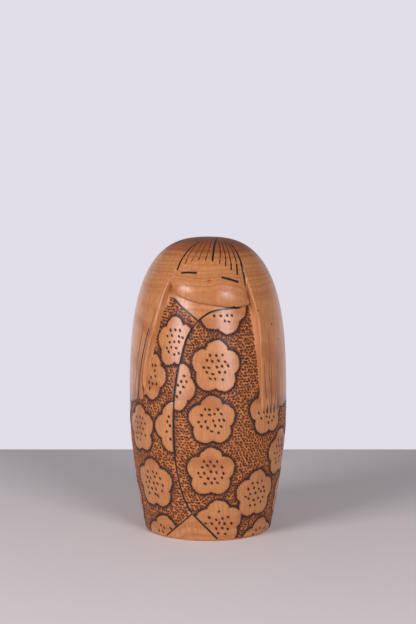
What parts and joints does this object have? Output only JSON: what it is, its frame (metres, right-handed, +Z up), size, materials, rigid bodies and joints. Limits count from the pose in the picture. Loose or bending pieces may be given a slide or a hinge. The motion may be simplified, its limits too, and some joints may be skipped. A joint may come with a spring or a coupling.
{
  "type": "kokeshi doll",
  "caption": "Turned wooden kokeshi doll carved in low relief, rounded crown, tapered body, bored from below and closed by a plug.",
  "frame": {"origin": "centre of the base on the turning axis, on the plane the doll stands on", "axes": "+Z up along the turning axis; the face looks along -Y; +X is on the right of someone looking at the face"},
  "size_m": [0.102, 0.102, 0.19],
  "materials": {
    "waxed_cherry": "hand-waxed, semi-gloss, burnt-in pattern",
    "bare_cherry": "bare, fine turned"
  },
  "bodies": {
    "root": {"body": "waxed_cherry", "base_plug": "bare_cherry"}
  },
  "joints": []
}
